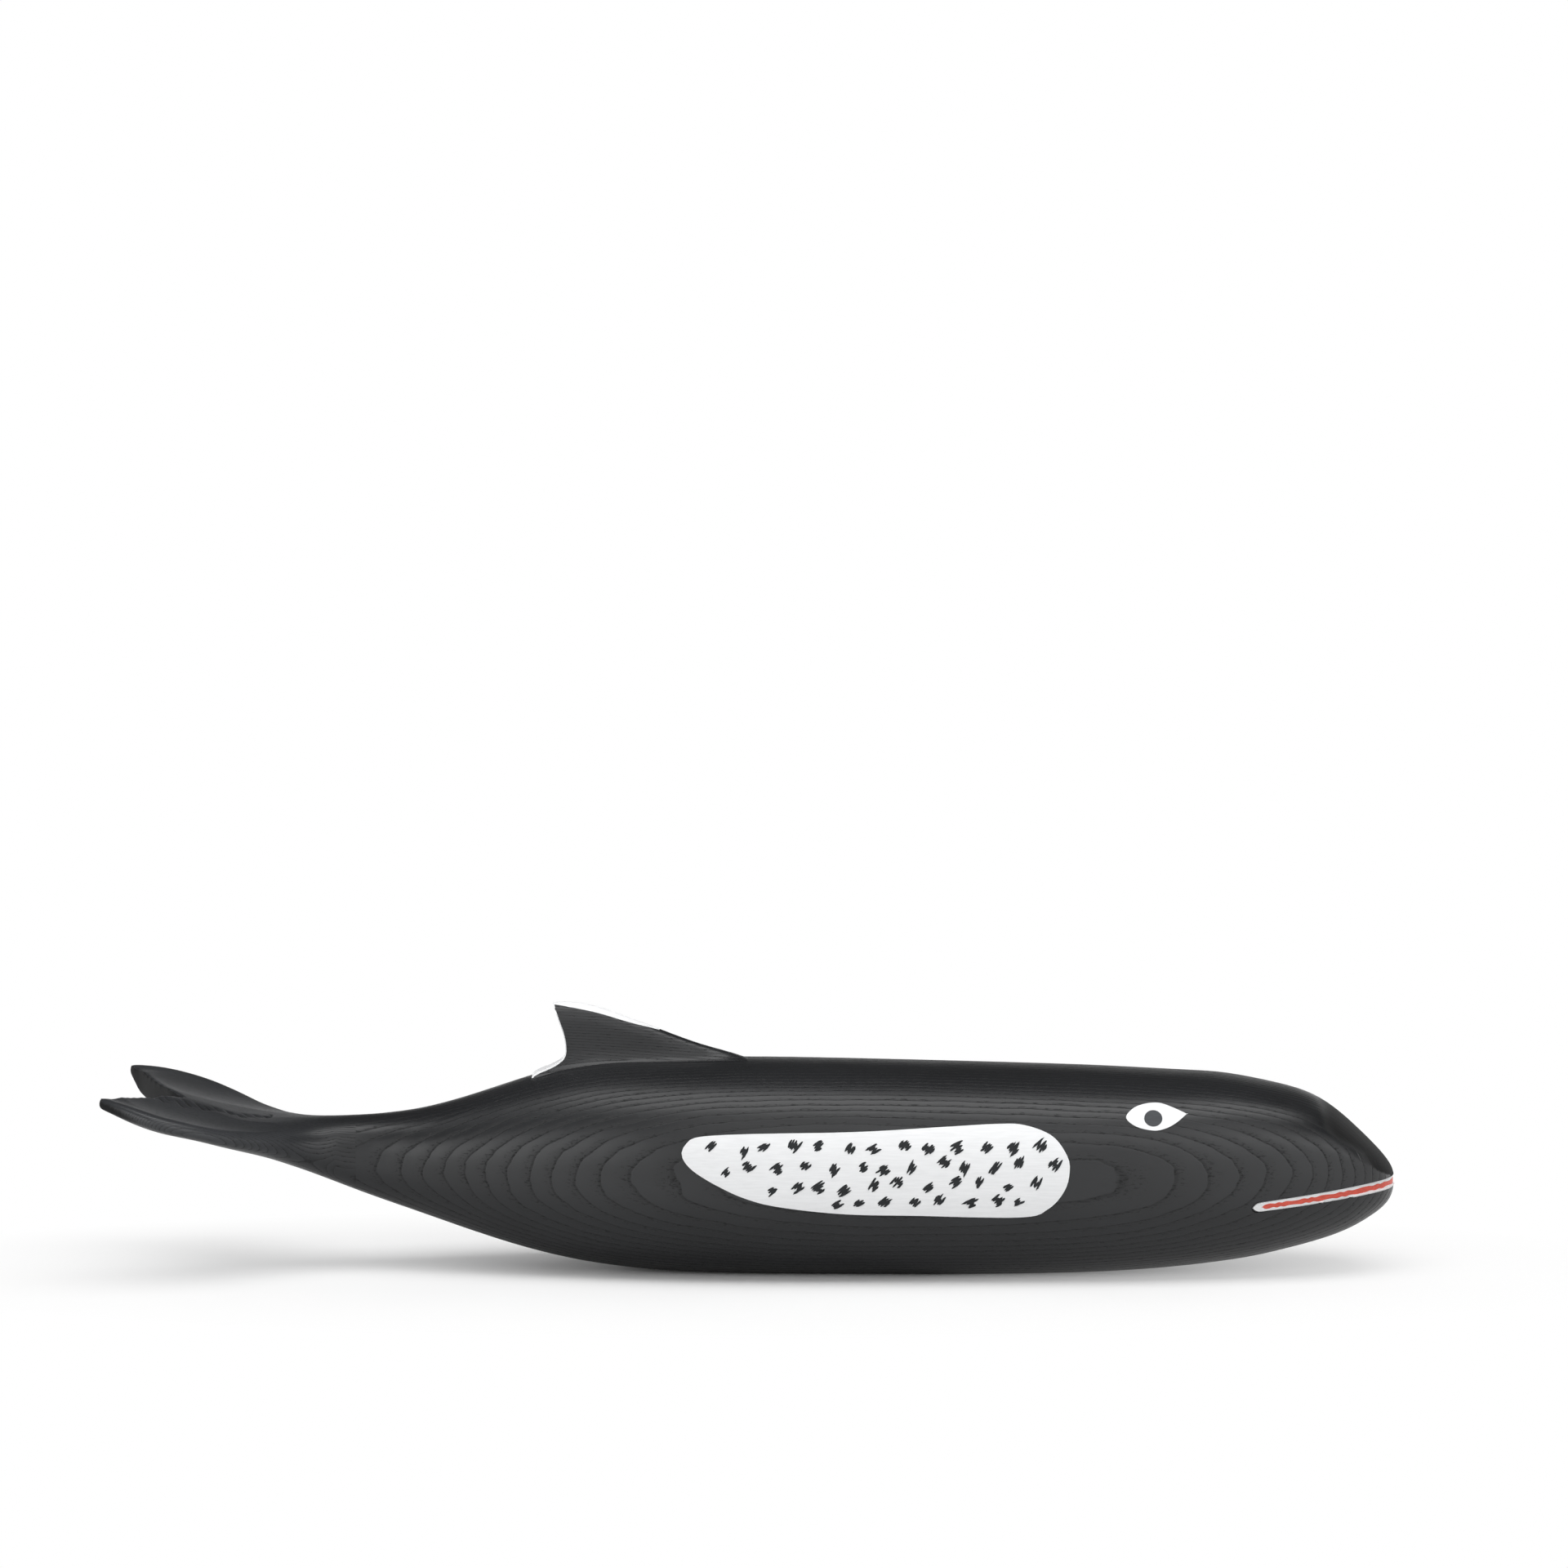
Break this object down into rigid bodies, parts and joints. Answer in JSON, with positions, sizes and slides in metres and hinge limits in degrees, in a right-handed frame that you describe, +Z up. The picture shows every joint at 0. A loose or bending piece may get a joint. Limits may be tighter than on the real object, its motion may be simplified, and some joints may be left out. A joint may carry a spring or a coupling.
{
  "type": "whale figurine",
  "caption": "Carved wooden whale ornament, ebonised dark with painted flank patches, eyes, mouth and fin edge, resting on a flat belly.",
  "frame": {"origin": "centre of the bounding box in plan, on the floor under the belly", "axes": "+X points from the tail to the snout, +Y to the whale's left, +Z up; the flank in the picture is on -Y"},
  "size_m": [0.63, 0.1573, 0.1321],
  "materials": {
    "stained_ash": "ebonised, matte, with painted marks",
    "beech_dowel": "plain"
  },
  "bodies": {
    "root": {"centre_board": "stained_ash", "left_board": "stained_ash", "right_board": "stained_ash", "board_dowels": "beech_dowel", "dorsal_fin": "stained_ash", "fin_dowels": "beech_dowel", "tail_fluke": "stained_ash", "tail_dowels": "beech_dowel"}
  },
  "joints": []
}
